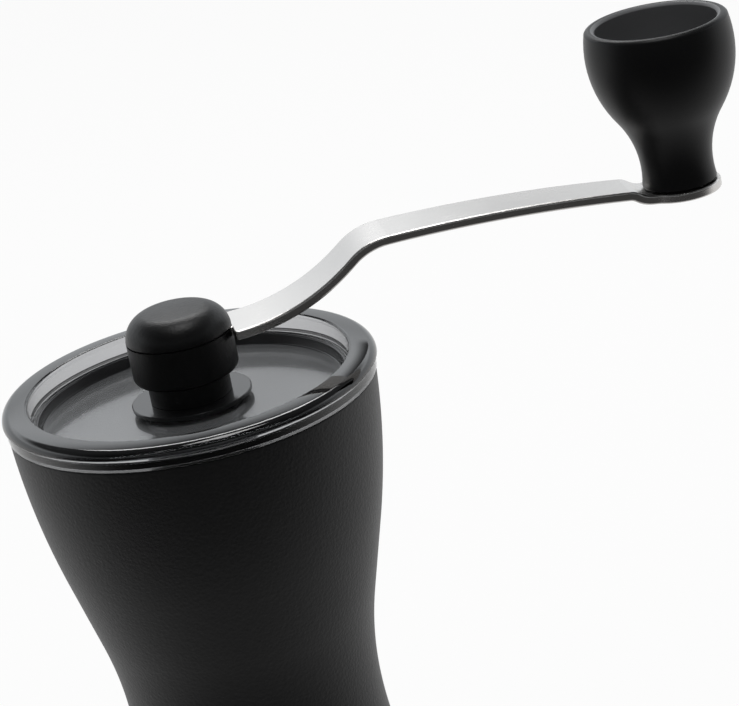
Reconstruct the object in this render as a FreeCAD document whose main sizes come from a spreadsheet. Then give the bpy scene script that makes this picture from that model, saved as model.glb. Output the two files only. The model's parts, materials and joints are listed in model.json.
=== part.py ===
import FreeCAD, Part
import math
import os
import Sketcher
from FreeCAD import Placement, Rotation, Vector

# A slim hand mill for coffee: lid, crank, hourglass body, burrs and a container for the grounds.
# Origin at the middle of the base on the table, +Z up along the drive shaft, crank arm along +X at rest.
# All sizes are millimetres. A height is measured from the table.

SIZES = {
    # Lid, the scale of the whole object
    "lip_radius": 36.0,
    "lip_height": 170.0,
    "lid_band_radius": 35.6,
    "lid_band_low": 166.6,
    "lid_crown": 1.1,
    "lid_ring_inner": 30.9,
    "lid_floor_top": 165.1,
    "lid_floor_low": 163.0,
    "lid_plug_low": 161.1,
    "lid_plug_round": 1.0,
    "lid_spigot_radius": 32.55,
    "lid_skirt_radius": 28.4,
    "lid_boss_radius": 9.6,
    "lid_bore": 6.05,
    "lid_lip_depth": 1.0,
    "lid_inner_round": 0.7,
    "lid_wall_draft": 0.3,
    "lid_ledge_height": 166.9,
    "lid_ledge_radius": 28.9,
    "lid_ledge_round": 0.4,
    # Lid bush
    "bush_flange_radius": 11.5,
    "bush_flange_low": 166.06,
    "bush_flange_top": 166.92,
    "bush_shoulder_radius": 7.0,
    "bush_shoulder_low": 165.16,
    "bush_radius": 6.0,
    "bush_low": 159.0,
    "bush_groove": 5.2,
    "bush_clip_low": 160.0,
    "bush_clip_high": 160.9,
    "bush_clip_radius": 8.6,
    "bush_clip_slot": 8.3,
    "bush_edge": 0.15,
    # Crank hub
    "neck_radius": 7.8,
    "neck_low": 166.97,
    "neck_high": 170.6,
    "hub_radius": 10.1,
    "hub_shoulder": 172.5,
    "hub_corner": 1.3,
    "hub_corner_inset": 0.9,
    "hub_seam": 179.14,
    "socket_top": 174.7,
    "cap_seam_gap": 0.06,
    "cap_round": 5.0,
    "cap_crown": 0.28,
    "cap_wall": 1.8,
    "cap_inner_bevel": 1.5,
    "cap_peg_radius": 1.5,
    "cap_peg_low": 175.2,
    "hub_screw_offset": 4.9,
    "hub_screw_shank": 0.95,
    "hub_screw_head": 1.7,
    "hub_screw_low": 172.6,
    "hub_screw_head_depth": 1.2,
    # Crank arm: straight in the hub, up, over a long arch and down a short step to a level eye
    "crank_reach": 99.7,
    "arm_thickness": 1.8,
    "arm_root_half": 7.2,
    "arm_neck_half": 3.1,
    "arm_shoulder": 9.75,
    "arm_shoulder_half": 6.45,
    "arm_shoulder_round": 0.8,
    "arm_tip_half": 4.93,
    "arm_bend_start": 9.62,
    "arm_rise_bend": 38.4,
    "arm_rise_angle": 37.1,
    "arm_rise_run": 1.2,
    "arm_crest_bend": 13.2,
    "arm_arch_start": 0.54,
    "arm_arch_bend": 326.5,
    "arm_arch_end": 7.76,
    "arm_dip_bend": 4.0,
    "arm_dip_angle": 38.0,
    "arm_level_bend": 4.5,
    "arm_edge_round": 0.4,
    "eye_radius": 7.8,
    "eye_fillet": 3.5,
    # Knob and its pin, heights above the eye's top face
    "knob_lift": 0.2,
    "knob_neck_radius": 6.9,
    "knob_neck_height": 3.45,
    "knob_neck_bend": 17.9,
    "knob_turn_height": 13.79,
    "knob_belly_bend": 21.825,
    "knob_belly_radius": 14.2,
    "knob_belly_height": 26.4,
    "knob_rim_height": 31.9,
    "knob_rim_round": 0.6,
    "knob_wall": 2.0,
    "knob_foot_round": 0.4,
    "knob_floor": 14.6,
    "knob_floor_rise": 3.2,
    "knob_floor_radius": 6.2,
    "knob_floor_bend": 5.0,
    "knob_bore": 2.55,
    "pin_radius": 2.5,
    "pin_tail_radius": 2.0,
    "pin_tail_head": 3.4,
    "pin_tail_head_depth": 1.2,
    "pin_head": 4.2,
    "pin_head_depth": 1.5,
    "pin_round": 1.0,
    "pin_washer_radius": 4.7,
    "pin_washer_depth": 0.4,
    "eye_washer_radius": 5.0,
    "eye_washer_depth": 0.5,
    "eye_washer_gap": 0.3,
    # Body
    "body_wall": 2.4,
    "body_top": 166.55,
    "waist_radius": 24.7,
    "waist_height": 103.5,
    "waist_bend": 72.0,
    "waist_angle": 14.5,
    "swell_height": 136.0,
    "swell_bend": 148.0,
    "flare_bend": 85.0,
    "seam_height": 76.0,
    "spigot_radius": 26.6,
    "spigot_inner": 24.8,
    "spigot_low": 66.5,
    "seal_height": 71.9,
    "seal_section": 0.62,
    "seal_groove_depth": 1.05,
    "seal_groove_height": 1.6,
    "ring_inner": 21.2,
    "ring_low": 79.0,
    "ring_high": 83.0,
    "funnel_radius": 20.4,
    "funnel_low": 117.0,
    "funnel_mid": 118.0,
    "funnel_high": 121.0,
    # Burr housing, retainer and their screws
    "housing_radius": 20.7,
    "housing_top": 116.7,
    "housing_flange": 24.5,
    "housing_low": 76.8,
    "housing_throat": 15.8,
    "housing_throat_high": 104.0,
    "housing_mouth": 18.4,
    "housing_mouth_low": 108.0,
    "spider_low": 107.0,
    "spider_high": 114.5,
    "spider_hub": 7.0,
    "spoke_width": 4.5,
    "burr_seat": 18.1,
    "burr_seat_top": 102.2,
    "retainer_low": 74.8,
    "retainer_radius": 18.0,
    "retainer_inner": 16.4,
    "retainer_top": 81.9,
    "housing_screw_circle": 22.65,
    "housing_screw_shank": 1.0,
    "housing_screw_hole": 1.2,
    "housing_screw_head": 1.8,
    "housing_screw_head_depth": 1.3,
    "housing_screw_top": 82.5,
    # Drive shaft and what sits on it
    "shaft_radius": 4.0,
    "shaft_round_low": 95.0,
    "shaft_round_high": 157.0,
    "shaft_hex": 6.0,
    "shaft_top": 174.2,
    "shaft_hex_low": 78.0,
    "thread_radius": 2.5,
    "thread_low": 65.0,
    "hex_clearance": 0.12,
    "bore_clearance": 0.05,
    "seat_gap": 0.05,
    "snug_gap": 0.02,
    "shaft_bush_radius": 5.2,
    "shaft_bush_low": 106.6,
    "shaft_bush_flange": 6.6,
    "shaft_bush_top": 115.6,
    "thrust_washer_top": 116.6,
    "washer_bore": 4.15,
    "washer_radius": 6.4,
    "clip_low": 116.7,
    "clip_high": 117.5,
    "clip_groove": 3.3,
    "clip_radius": 6.0,
    "clip_slot": 5.2,
    # Burrs, carrier, spring and adjuster
    "burr_low": 80.0,
    "burr_rim_high": 80.8,
    "burr_knee": 86.0,
    "burr_top": 99.0,
    "burr_base_radius": 15.0,
    "burr_knee_radius": 13.4,
    "burr_top_radius": 9.0,
    "burr_bore": 6.6,
    "burr_gap": 0.4,
    "ring_burr_radius": 18.0,
    "ring_burr_low": 82.0,
    "ring_burr_choke": 87.5,
    "ring_burr_top": 102.1,
    "ring_burr_mouth": 15.6,
    "tooth_width": 1.5,
    "tooth_depth": 1.1,
    "tooth_count": 18,
    "tooth_slant": 18.0,
    "carrier_radius": 6.4,
    "carrier_top": 97.2,
    "carrier_flange": 13.0,
    "carrier_low": 77.0,
    "carrier_relief_low": 93.0,
    "key_length": 25.0,
    "key_width": 3.0,
    "key_top": 81.5,
    "key_clearance": 0.1,
    "spring_radius": 5.4,
    "spring_wire": 0.5,
    "spring_low": 98.35,
    "spring_high": 105.4,
    "spring_turns": 4.5,
    "spring_washer": 0.5,
    "wheel_radius": 11.0,
    "wheel_low": 70.0,
    "wheel_top": 76.95,
    "wheel_bore": 3.8,
    "wheel_notch_radius": 2.2,
    "wheel_notch_circle": 12.2,
    "wheel_notch_count": 8,
    "nut_hex": 8.0,
    "nut_low": 70.6,
    "nut_top": 75.6,
    # Grounds container and its pad
    "container_radius": 33.9,
    "container_shoulder": 48.2,
    "container_top": 75.8,
    "container_wall": 2.4,
    "container_mouth": 26.9,
    "container_mouth_low": 68.4,
    "container_step": 1.6,
    "container_base_radius": 33.2,
    "container_base_round": 2.6,
    "container_base_low": 0.8,
    "container_floor": 4.8,
    "container_floor_round": 4.0,
    "pad_radius": 26.0,
    "pad_top": 2.0,
    "pad_edge": 0.6,
    "pad_gap": 0.2,
}


# How far a cutting tool reaches past the face that it opens
PAST = 1.0


class Size:
    """A number together with the expression that gives it."""

    def __init__(self, value, text):
        self.value = value
        self.text = text

    def join(self, sign, other, value):
        return Size(value, f"({self.text} {sign} {other.text})")

    def __add__(self, other):
        other = as_size(other)
        return self.join("+", other, self.value + other.value)

    def __sub__(self, other):
        other = as_size(other)
        return self.join("-", other, self.value - other.value)

    def __mul__(self, other):
        other = as_size(other)
        return self.join("*", other, self.value * other.value)

    def __truediv__(self, other):
        other = as_size(other)
        return self.join("/", other, self.value / other.value)

    def __radd__(self, other):
        return as_size(other) + self

    def __rsub__(self, other):
        return as_size(other) - self

    def __rmul__(self, other):
        return as_size(other) * self

    def __neg__(self):
        return as_size(0) - self


def as_size(number):
    return number if isinstance(number, Size) else Size(float(number), str(float(number)))


def root(size):
    return Size(math.sqrt(size.value), f"sqrt({size.text})")


def sine(angle):
    angle = as_size(angle)
    return Size(math.sin(math.radians(angle.value)), f"sin({angle.text})")


def cosine(angle):
    angle = as_size(angle)
    return Size(math.cos(math.radians(angle.value)), f"cos({angle.text})")


def beside(centre, bend, rise, side):
    """Radius of a round wall at a height: rise above the bend's centre, on one side of it."""
    return centre + side * root(bend * bend - rise * rise)


doc = FreeCAD.newDocument("coffee_mill")
sheet = doc.addObject("Spreadsheet::Sheet", "Sizes")
for row, (alias, number) in enumerate(SIZES.items(), 1):
    sheet.set(f"A{row}", alias)
    sheet.set(f"B{row}", str(number))
    sheet.setAlias(f"B{row}", alias)
doc.recompute()


class Sizes:
    """Every driving dimension by its name in the sheet."""


d = Sizes()
for alias in SIZES:
    setattr(d, alias, Size(float(sheet.get(alias)), f"Sizes.{alias}"))

nodes = []


def finished(item, label):
    """Name a sub-part and keep it for writing."""
    item.Label = label
    nodes.append(item)
    return item


def bind(item, name, size):
    item.setExpression(name, as_size(size).text)


def place(item, x=0, y=0, z=0, turn=0):
    item.Placement = Placement(Vector(), Rotation(Vector(0, 0, 1), turn))
    for axis, size in zip("xyz", (x, y, z)):
        bind(item, f"Placement.Base.{axis}", size)
    return item


def origin_plane(body, role):
    return next(item for item in body.Origin.OriginFeatures if item.Role == role)


def arc_between(first, last, bend):
    """The shorter arc from first to last: a positive bend turns left on the way, a negative one right."""
    chord = last - first
    middle = (first + last) * 0.5
    left = Vector(-chord.y, chord.x, 0).normalize()
    reach = math.sqrt(max(bend * bend - chord.Length ** 2 / 4, 0))
    centre = middle + left * (reach if bend > 0 else -reach)
    circle = Part.Circle(centre, Vector(0, 0, 1), abs(bend))
    angles = [math.atan2(p.y - centre.y, p.x - centre.x) for p in (first, last)]
    if bend < 0:
        angles.reverse()
    if angles[1] < angles[0]:
        angles[1] += 2 * math.pi
    return Part.ArcOfCircle(circle, *angles)


def outline(sketch, corners):
    """Closed outline through corners (x, y) or (x, y, bend), where bend rounds the edge arriving there."""
    points = [Vector(as_size(c[0]).value, as_size(c[1]).value, 0) for c in corners]
    starts = []
    ends = []
    for index, corner in enumerate(corners):
        before = points[index - 1]
        after = points[index]
        if len(corner) == 2:
            edge = sketch.addGeometry(Part.LineSegment(before, after))
            starts.append((edge, 1))
            ends.append((edge, 2))
            continue
        bend = as_size(corner[2])
        edge = sketch.addGeometry(arc_between(before, after, bend.value))
        starts.append((edge, 1 if bend.value > 0 else 2))
        ends.append((edge, 2 if bend.value > 0 else 1))
        radius = sketch.addConstraint(Sketcher.Constraint("Radius", edge, abs(bend.value)))
        bind(sketch, f"Constraints[{radius}]", bend if bend.value > 0 else -bend)
    for index, corner in enumerate(corners):
        end = ends[index]
        start = starts[(index + 1) % len(corners)]
        sketch.addConstraint(Sketcher.Constraint("Coincident", *end, *start))
        for axis, kind, line in ((0, "DistanceX", -2), (1, "DistanceY", -1)):
            size = as_size(corner[axis])
            if abs(size.value) < 1e-9:
                sketch.addConstraint(Sketcher.Constraint("PointOnObject", *end, line))
                continue
            mark = sketch.addConstraint(Sketcher.Constraint(kind, -1, 1, *end, size.value))
            bind(sketch, f"Constraints[{mark}]", size)


def new_sketch(body, role):
    sketch = body.newObject("Sketcher::SketchObject", f"{body.Name}_outline")
    sketch.AttachmentSupport = [(origin_plane(body, role), "")]
    sketch.MapMode = "FlatFace"
    return sketch


def revolved(name, corners):
    """Body of revolution about Z from corners given as radius and height."""
    body = doc.addObject("PartDesign::Body", name)
    sketch = new_sketch(body, "XZ_Plane")
    outline(sketch, corners)
    turn = body.newObject("PartDesign::Revolution", f"{name}_turned")
    turn.Profile = (sketch, [""])
    turn.ReferenceAxis = (sketch, ["V_Axis"])
    turn.Angle = 360
    body.Tip = turn
    return body


def cylinder(name, radius, low, high, x=0, y=0):
    item = doc.addObject("Part::Cylinder", name)
    bind(item, "Radius", radius)
    bind(item, "Height", high - low)
    return place(item, x, y, low)


def hexagon(name, across_flats, low, high):
    item = doc.addObject("Part::Prism", name)
    item.Polygon = 6
    bind(item, "Circumradius", across_flats / math.sqrt(3))
    bind(item, "Height", high - low)
    return place(item, 0, 0, low)


def bar(name, start, end, width, low, high, turn=0):
    """Bar along a line through the axis, from start to end, turned about Z by a number of degrees."""
    item = doc.addObject("Part::Box", name)
    bind(item, "Length", end - start)
    bind(item, "Width", width)
    bind(item, "Height", high - low)
    x = start * cosine(turn) + width / 2 * sine(turn)
    y = start * sine(turn) - width / 2 * cosine(turn)
    return place(item, x, y, low, turn)


def fuse(name, items):
    whole = doc.addObject("Part::MultiFuse", name)
    whole.Shapes = items
    return whole


def cut(name, base, tools):
    whole = doc.addObject("Part::Cut", name)
    whole.Base = base
    whole.Tool = tools[0] if len(tools) == 1 else fuse(f"{name}_tools", tools)
    return whole


def washer(name, radius, bore, low, high):
    disc = cylinder(f"{name}_disc", radius, low, high)
    return cut(name, disc, [cylinder(f"{name}_hole", bore, low - PAST, high + PAST)])


def screw(name, x, y, shank, shank_end, head, head_low, head_high, slot_high):
    """Slotted screw standing along Z, with its shank reaching from the head to shank_end."""
    low = shank_end if shank_end.value < head_low.value else head_high
    high = head_low if shank_end.value < head_low.value else shank_end
    whole = fuse(f"{name}_blank", [
        cylinder(f"{name}_shank", shank, low, high, x, y),
        cylinder(f"{name}_head", head, head_low, head_high, x, y),
    ])
    slot = doc.addObject("Part::Box", f"{name}_slot")
    bind(slot, "Length", head * 3)
    bind(slot, "Width", head / 3)
    bind(slot, "Height", head / 2)
    place(slot, x - head * 1.5, y - head / 6, head_high - head / 4 if slot_high else head_low - head / 4)
    return cut(name, whole, [slot])


def group(name, items):
    whole = doc.addObject("Part::Compound", name)
    whole.Links = items
    return whole


def base_pad():
    edge = d.pad_edge
    finished(revolved("pad", [
        (0, 0),
        (d.pad_radius - edge, 0),
        (d.pad_radius, edge, edge),
        (d.pad_radius, d.pad_top),
        (0, d.pad_top),
    ]), "base_pad")


def grounds_container():
    """Cup with a rounded foot, an upright wall and a shoulder that draws in to the mouth."""
    bend = d.flare_bend
    centre = d.container_radius - bend
    wall = d.container_wall
    foot = d.container_base_round
    floor_bend = d.container_floor_round
    step_low = d.container_mouth_low - d.container_step
    inner_bend = bend - wall
    finished(revolved("container", [
        (0, d.pad_top),
        (d.pad_radius + d.pad_gap, d.pad_top),
        (d.pad_radius + d.pad_gap, d.container_base_low),
        (d.container_base_radius - foot, d.container_base_low),
        (d.container_base_radius, d.container_base_low + foot, foot),
        (d.container_radius, d.container_shoulder),
        (beside(centre, bend, d.container_top - d.container_shoulder, 1), d.container_top, bend),
        (d.container_mouth, d.container_top),
        (d.container_mouth, d.container_mouth_low),
        (beside(centre, inner_bend, step_low - d.container_shoulder, 1), step_low),
        (d.container_radius - wall, d.container_shoulder, -inner_bend),
        (d.container_base_radius - wall, d.container_floor + floor_bend),
        (d.container_base_radius - wall - floor_bend, d.container_floor, -floor_bend),
        (0, d.container_floor),
    ]), "grounds_container")


def upper_body():
    """Hourglass shell with a spigot below, a ring that carries the burrs and a funnel lip above them."""
    wall = d.body_wall
    slope = d.waist_angle
    upper_centre = d.waist_radius + d.waist_bend
    flare_centre = d.waist_radius + d.flare_bend
    waist_inner = d.waist_bend + wall
    flare_inner = d.flare_bend + wall
    rise_radius = upper_centre - d.waist_bend * cosine(slope)
    rise_height = d.waist_height + d.waist_bend * sine(slope)
    swell_radius = rise_radius + (d.swell_height - rise_height) * (sine(slope) / cosine(slope))
    swell_centre = swell_radius - d.swell_bend * cosine(slope)
    swell_drop = d.swell_height + d.swell_bend * sine(slope) - d.body_top
    swell_inner = d.swell_bend - wall
    groove = d.spigot_radius - d.seal_groove_depth
    groove_low = d.seal_height - d.seal_groove_height / 2
    groove_high = d.seal_height + d.seal_groove_height / 2
    shell = revolved("shell", [
        (d.spigot_inner, d.spigot_low),
        (d.spigot_radius, d.spigot_low),
        (d.spigot_radius, groove_low),
        (groove, groove_low),
        (groove, groove_high),
        (d.spigot_radius, groove_high),
        (d.spigot_radius, d.seam_height),
        (beside(flare_centre, d.flare_bend, d.waist_height - d.seam_height, -1), d.seam_height),
        (d.waist_radius, d.waist_height, -d.flare_bend),
        (rise_radius, rise_height, -d.waist_bend),
        (swell_radius, d.swell_height),
        (beside(swell_centre, d.swell_bend, swell_drop, 1), d.body_top, d.swell_bend),
        (beside(swell_centre, swell_inner, swell_drop, 1), d.body_top),
        (swell_radius - wall * cosine(slope), d.swell_height + wall * sine(slope), -swell_inner),
        (rise_radius - wall * cosine(slope), rise_height + wall * sine(slope)),
        (beside(upper_centre, waist_inner, d.funnel_high - d.waist_height, -1), d.funnel_high, waist_inner),
        (d.funnel_radius, d.funnel_mid),
        (d.funnel_radius, d.funnel_low),
        (beside(upper_centre, waist_inner, d.funnel_low - d.waist_height, -1), d.funnel_low),
        (d.waist_radius - wall, d.waist_height, waist_inner),
        (beside(flare_centre, flare_inner, d.waist_height - d.ring_high, -1), d.ring_high, flare_inner),
        (d.ring_inner, d.ring_high),
        (d.ring_inner, d.ring_low),
        (d.spigot_inner, d.ring_low),
    ])
    pilots = on_screw_circle(lambda name, x, y: cylinder(
        f"{name}_pilot", d.housing_screw_shank, d.ring_low - PAST, d.housing_screw_top, x, y))
    finished(cut("body_drilled", shell, pilots), "upper_body")


def container_seal():
    seal = doc.addObject("Part::Torus", "seal")
    bind(seal, "Radius1", d.spigot_radius - d.seal_groove_depth + d.seal_section)
    bind(seal, "Radius2", d.seal_section)
    finished(place(seal, 0, 0, d.seal_height), "container_seal")


def on_screw_circle(make):
    """Make one thing at each of the three screws that hold the burr housing."""
    made = []
    for index in range(3):
        angle = 60 + 120 * index
        x = d.housing_screw_circle * cosine(angle)
        y = d.housing_screw_circle * sine(angle)
        made.append(make(f"screw{index}_{len(doc.Objects)}", x, y))
    return made


def burr_housing():
    """Flanged sleeve with a seat for the ring burr and three spokes that carry the shaft's bush."""
    sleeve = revolved("sleeve", [
        (d.burr_seat, d.housing_low),
        (d.housing_flange, d.housing_low),
        (d.housing_flange, d.ring_low),
        (d.housing_radius, d.ring_low),
        (d.housing_radius, d.housing_top),
        (d.housing_mouth, d.housing_top),
        (d.housing_mouth, d.housing_mouth_low),
        (d.housing_throat, d.housing_throat_high),
        (d.housing_throat, d.burr_seat_top),
        (d.burr_seat, d.burr_seat_top),
    ])
    reach = (d.housing_mouth + d.housing_radius) / 2
    spokes = [
        bar(f"spoke{turn}", as_size(0), reach, d.spoke_width, d.spider_low, d.spider_high, turn)
        for turn in (30, 150, 270)
    ]
    hub = cylinder("spider_hub", d.spider_hub, d.spider_low, d.spider_high)
    whole = fuse("housing_blank", [sleeve, hub, *spokes])
    holes = on_screw_circle(lambda name, x, y: cylinder(
        f"{name}_hole", d.housing_screw_hole, d.housing_low - PAST, d.ring_low + PAST, x, y))
    bore = cylinder("spider_bore", d.shaft_bush_radius, d.spider_low - PAST, d.spider_high + PAST)
    finished(cut("housing_drilled", whole, [bore, *holes]), "burr_housing")


def burr_retainer():
    ring = revolved("retainer", [
        (d.retainer_inner, d.retainer_low),
        (d.housing_flange, d.retainer_low),
        (d.housing_flange, d.housing_low),
        (d.retainer_radius, d.housing_low),
        (d.retainer_radius, d.retainer_top),
        (d.retainer_inner, d.retainer_top),
    ])
    holes = on_screw_circle(lambda name, x, y: cylinder(
        f"{name}_hole", d.housing_screw_hole, d.retainer_low - PAST, d.housing_low + PAST, x, y))
    finished(cut("retainer_drilled", ring, holes), "burr_retainer")


def housing_screws():
    screws = on_screw_circle(lambda name, x, y: screw(
        name, x, y, d.housing_screw_shank, d.housing_screw_top, d.housing_screw_head,
        d.retainer_low - d.housing_screw_head_depth, d.retainer_low, False))
    finished(group("screws", screws), "housing_screws")


def shaft_bush():
    bore = d.shaft_radius + d.bore_clearance
    finished(revolved("bush", [
        (bore, d.shaft_bush_low),
        (d.shaft_bush_radius, d.shaft_bush_low),
        (d.shaft_bush_radius, d.spider_high),
        (d.shaft_bush_flange, d.spider_high),
        (d.shaft_bush_flange, d.shaft_bush_top),
        (bore, d.shaft_bush_top),
    ]), "shaft_bush")


def toothed(name, blank, lean, slant, start, height):
    """Cut slanted grooves round a burr: one groove that runs out past both ends, repeated round the axis."""
    run_out = 0.3
    groove = blank.newObject("PartDesign::SubtractiveBox", f"{name}_groove")
    bind(groove, "Length", d.tooth_depth * 2)
    bind(groove, "Width", d.tooth_width)
    bind(groove, "Height", height * (1 + 2 * run_out))
    tilt = Rotation(Vector(0, 1, 0), lean) * Rotation(Vector(1, 0, 0), slant)
    offset = Vector(-d.tooth_depth.value, -d.tooth_width.value / 2, -height.value * run_out)
    groove.Placement = Placement(Vector(start[0].value, 0, start[1].value) + tilt * offset, tilt)
    ring = blank.newObject("PartDesign::PolarPattern", f"{name}_teeth")
    ring.Originals = [groove]
    ring.Axis = (next(item for item in blank.Origin.OriginFeatures if item.Role == "Z_Axis"), [""])
    ring.Angle = 360
    bind(ring, "Occurrences", d.tooth_count)
    blank.Tip = ring
    return blank


def outer_burr():
    """Ceramic ring whose bore narrows to a choke and opens again along the cone burr's rim."""
    rim = (d.burr_base_radius - d.burr_knee_radius) / (d.burr_knee - d.burr_rim_high)
    foot = d.burr_base_radius - (d.ring_burr_low - d.burr_rim_high) * rim + d.burr_gap
    choke = d.burr_base_radius - (d.ring_burr_choke - d.burr_rim_high) * rim + d.burr_gap
    ring = revolved("ring_burr", [
        (foot, d.ring_burr_low),
        (d.ring_burr_radius, d.ring_burr_low),
        (d.ring_burr_radius, d.ring_burr_top),
        (d.ring_burr_mouth, d.ring_burr_top),
        (choke, d.ring_burr_choke),
    ])
    lean = math.degrees(math.atan2(d.ring_burr_mouth.value - choke.value,
                                   d.ring_burr_top.value - d.ring_burr_choke.value))
    height = d.ring_burr_top - d.ring_burr_choke
    toothed("ring_burr", ring, lean, d.tooth_slant.value, (choke, d.ring_burr_choke), height)
    finished(ring, "outer_burr")


def inner_burr():
    """Ceramic cone with a slot across its base for the carrier's key."""
    cone = revolved("cone_burr", [
        (d.burr_bore, d.burr_low),
        (d.burr_base_radius, d.burr_low),
        (d.burr_base_radius, d.burr_rim_high),
        (d.burr_knee_radius, d.burr_knee),
        (d.burr_top_radius, d.burr_top),
        (d.burr_bore, d.burr_top),
    ])
    lean = -math.degrees(math.atan2(d.burr_knee_radius.value - d.burr_top_radius.value,
                                    d.burr_top.value - d.burr_knee.value))
    height = d.burr_top - d.burr_knee
    toothed("cone_burr", cone, lean, -d.tooth_slant.value, (d.burr_knee_radius, d.burr_knee), height)
    gap = d.key_clearance
    reach = d.key_length / 2 + gap
    slot = bar("cone_slot", -reach, reach, d.key_width + gap * 2, d.burr_low - PAST, d.key_top + gap)
    finished(cut("cone_keyed", cone, [slot]), "inner_burr")


def burr_carrier():
    """Flange under the cone burr, a stem inside it and a key across both, all sliding on the hexagon."""
    flange = cylinder("carrier_flange", d.carrier_flange, d.carrier_low, d.burr_low)
    stem = cylinder("carrier_stem", d.carrier_radius, d.carrier_low, d.carrier_top)
    key = bar("carrier_key", -(d.key_length / 2), d.key_length / 2, d.key_width, d.burr_low - PAST, d.key_top)
    socket = hexagon("carrier_socket", d.shaft_hex + d.hex_clearance, d.carrier_low - PAST, d.shaft_round_low)
    relief = cylinder("carrier_relief", d.washer_bore, d.carrier_relief_low, d.carrier_top + PAST)
    finished(cut("carrier", fuse("carrier_blank", [flange, stem, key]), [socket, relief]), "burr_carrier")


def drive_shaft():
    """Round shaft with a hexagon for the crank above, one for the carrier below, and a thread under that."""
    round_part = cylinder("shaft_round", d.shaft_radius, d.shaft_round_low, d.shaft_round_high)
    top = hexagon("shaft_top_hex", d.shaft_hex, d.shaft_round_high, d.shaft_top)
    low = hexagon("shaft_low_hex", d.shaft_hex, d.shaft_hex_low, d.shaft_round_low)
    thread = cylinder("shaft_thread", d.thread_radius, d.thread_low, d.shaft_hex_low)
    groove = washer("shaft_groove", d.shaft_radius + PAST, d.clip_groove, d.clip_low - d.seat_gap,
                    d.clip_high + d.seat_gap)
    finished(cut("shaft", fuse("shaft_blank", [round_part, top, low, thread]), [groove]), "drive_shaft")


def open_clip(name, radius, bore, low, high, slot_width):
    """Flat spring clip with an opening towards +X."""
    ring = washer(f"{name}_ring", radius, bore, low, high)
    slot = bar(f"{name}_slot", as_size(0), radius + PAST, slot_width, low - PAST, high + PAST)
    return cut(name, ring, [slot])


def shaft_fittings():
    gap = d.seat_gap
    finished(washer("thrust", d.washer_radius, d.washer_bore, d.shaft_bush_top + gap, d.thrust_washer_top),
             "thrust_washer")
    finished(open_clip("clip", d.clip_radius, d.clip_groove + gap, d.clip_low, d.clip_high, d.clip_slot),
             "shaft_clip")
    top = d.shaft_bush_low - gap
    finished(washer("spring_top", d.washer_radius, d.washer_bore, top - d.spring_washer, top),
             "spring_top_washer")
    seat = d.carrier_top + gap
    finished(washer("spring_seat", d.washer_radius, d.washer_bore, seat, seat + d.spring_washer),
             "spring_seat_washer")


def heading_after(start, leave, end):
    """Direction at the end of an arc that leaves start along leave."""
    chord = end - start
    return (chord * (2 * leave.dot(chord) / chord.dot(chord)) - leave).normalize()


def helix_arcs(radius, low, high, turns):
    """Coil line as two tangent arcs for each quarter turn."""
    count = round(turns * 4)
    quarter = math.pi / 2
    rise = (high - low) / count
    climb = rise / quarter

    def point(step):
        angle = step * quarter
        return Vector(radius * math.cos(angle), radius * math.sin(angle), low + rise * step)

    def heading(step):
        angle = step * quarter
        return Vector(-radius * math.sin(angle), radius * math.cos(angle), climb).normalize()

    def arc(start, direction, end):
        chord = end - start
        half_turn = direction.getAngle(chord)
        middle = (start + end) * 0.5
        side = (direction * chord.Length - chord * math.cos(half_turn)).normalize()
        sag = chord.Length / 2 * math.tan(half_turn / 2)
        return Part.Arc(start, middle + side * sag, end).toShape()

    edges = []
    for step in range(count):
        start, end = point(step), point(step + 1)
        leave, arrive = heading(step), heading(step + 1)
        chord = end - start
        square = 2 * leave.dot(arrive) - 2
        linear = -2 * chord.dot(leave + arrive)
        reach = (-linear - math.sqrt(linear ** 2 - 4 * square * chord.dot(chord))) / (2 * square)
        joint = (start + leave * reach + end - arrive * reach) * 0.5
        edges.append(arc(start, leave, joint))
        edges.append(arc(joint, heading_after(start, leave, joint), end))
    return Part.Wire(edges)


def burr_spring():
    """Coil of round wire, one unbroken tube."""
    radius = d.spring_radius.value
    wire = d.spring_wire.value
    line = helix_arcs(radius, d.spring_low.value, d.spring_high.value, d.spring_turns.value)
    start = line.Edges[0].valueAt(line.Edges[0].FirstParameter)
    along = line.Edges[0].tangentAt(line.Edges[0].FirstParameter)
    section = Part.Wire(Part.Circle(start, along, wire).toShape())
    spring = doc.addObject("Part::Feature", "spring")
    spring.Shape = line.makePipeShell([section], True, False)
    points = line.discretize(Number=800)
    turn = round(len(points) / d.spring_turns.value / 2)
    gap = min((points[i] - points[j]).Length for i in range(0, len(points), 4)
              for j in range(i + turn, len(points), 4)) - 2 * wire
    print(f"spring: least gap to itself {gap:.3f} mm, volume {spring.Shape.Volume:.2f}, "
          f"wire section by length {math.pi * wire ** 2 * line.Length:.2f}")
    finished(spring, "burr_spring")


def adjuster():
    """Notched wheel with a brass nut set into it from below."""
    disc = cylinder("wheel_disc", d.wheel_radius, d.wheel_low, d.wheel_top)
    notches = []
    for index in range(int(d.wheel_notch_count.value)):
        angle = as_size(360 * index) / d.wheel_notch_count
        notches.append(cylinder(
            f"wheel_notch{index}", d.wheel_notch_radius, d.wheel_low - PAST, d.wheel_top + PAST,
            d.wheel_notch_circle * cosine(angle), d.wheel_notch_circle * sine(angle)))
    pocket = hexagon("wheel_pocket", d.nut_hex + d.snug_gap * 2, d.wheel_low - PAST, d.nut_top + d.snug_gap)
    bore = cylinder("wheel_bore", d.wheel_bore, d.wheel_low, d.wheel_top + PAST)
    finished(cut("wheel", disc, [pocket, bore, *notches]), "adjust_wheel")
    nut = hexagon("nut_blank", d.nut_hex, d.nut_low, d.nut_top)
    thread = cylinder("nut_thread", d.thread_radius + d.bore_clearance, d.nut_low - PAST, d.nut_top + PAST)
    finished(cut("nut", nut, [thread]), "adjust_nut")


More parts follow.
